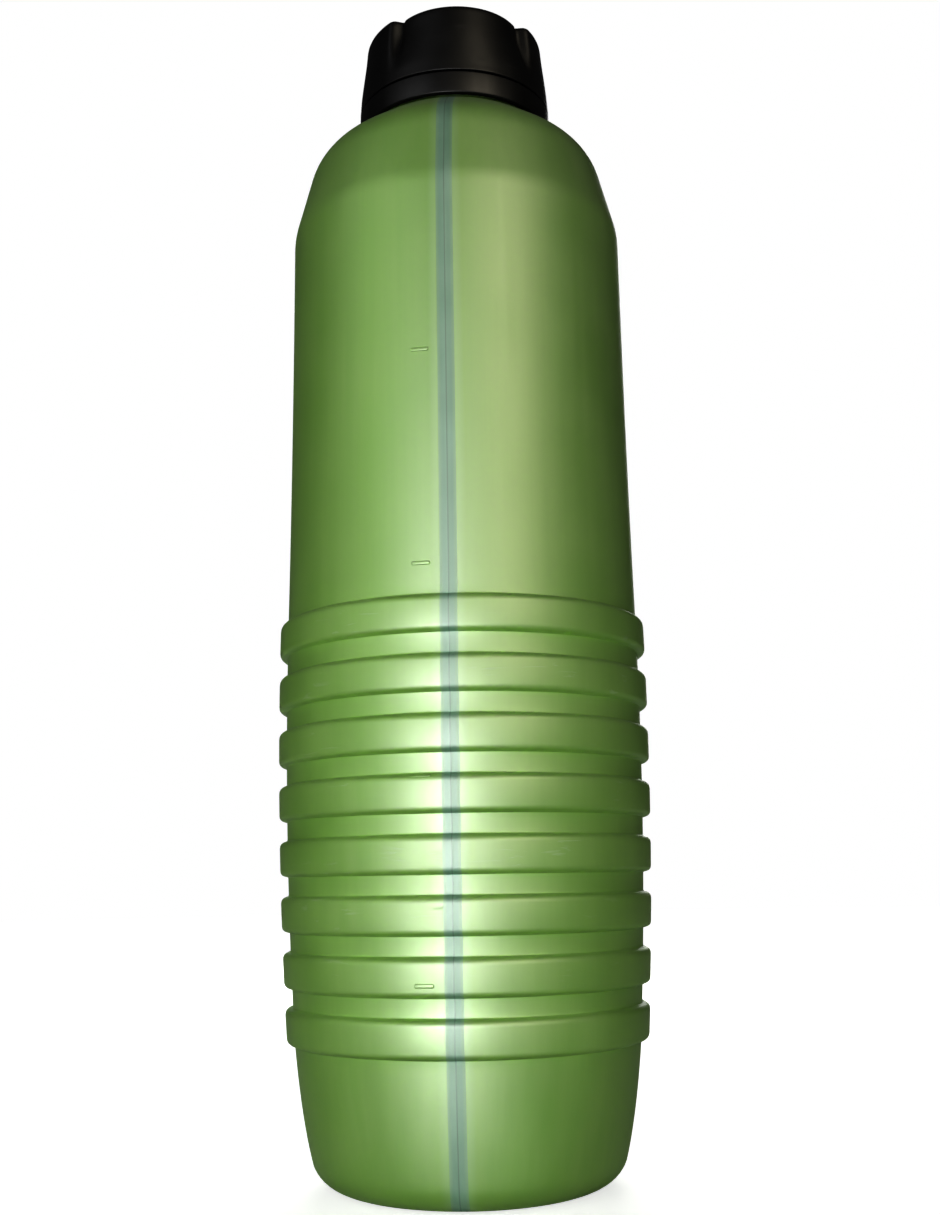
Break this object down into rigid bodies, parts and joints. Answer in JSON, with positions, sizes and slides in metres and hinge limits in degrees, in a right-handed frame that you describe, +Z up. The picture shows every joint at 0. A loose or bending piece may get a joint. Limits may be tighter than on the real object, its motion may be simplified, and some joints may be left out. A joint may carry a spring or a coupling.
{
  "type": "oil bottle",
  "caption": "Ribbed blow-moulded plastic oil bottle with a clear level strip down the front, raised level marks, a lobed screw cap and its tamper band.",
  "frame": {"origin": "middle of the base, on the plane that the bottle stands on", "axes": "+Z up along the bottle's axis; -Y is the front, where the level strip is; +X is to the right of someone who looks at the strip"},
  "size_m": [0.0828, 0.0828, 0.2649],
  "materials": {
    "green_hdpe": "satin, blow-moulded, faint mottling and mould lines",
    "clear_hdpe": "satin, milky see-through strip",
    "black_pp": "satin, injection-moulded",
    "liner_foam": "matt foamed disc"
  },
  "bodies": {
    "bottle": {"bottle_shell": "green_hdpe", "sight_strip": "clear_hdpe"},
    "liner": {"cap_liner": "liner_foam"},
    "cap": {"screw_cap": "black_pp"},
    "band": {"tamper_band": "black_pp"}
  },
  "joints": [
    {"name": "cap_lift", "type": "slide", "parent": "bottle", "child": "liner", "axis": [0, 0, 1], "range_m": [0, 0.02118]},
    {"name": "cap_turn", "type": "hinge", "parent": "liner", "child": "cap", "pos_m": [0, 0, 0.255], "axis": [0, 0, 1], "range_deg": [0, 1800]},
    {"name": "band_turn", "type": "hinge", "parent": "bottle", "child": "band", "pos_m": [0, 0, 0.245], "axis": [0, 0, 1], "continuous": true}
  ],
  "couplings": [
    {"joint": "cap_lift", "follows": "cap_turn", "m_per_rad": 0.0006737}
  ]
}
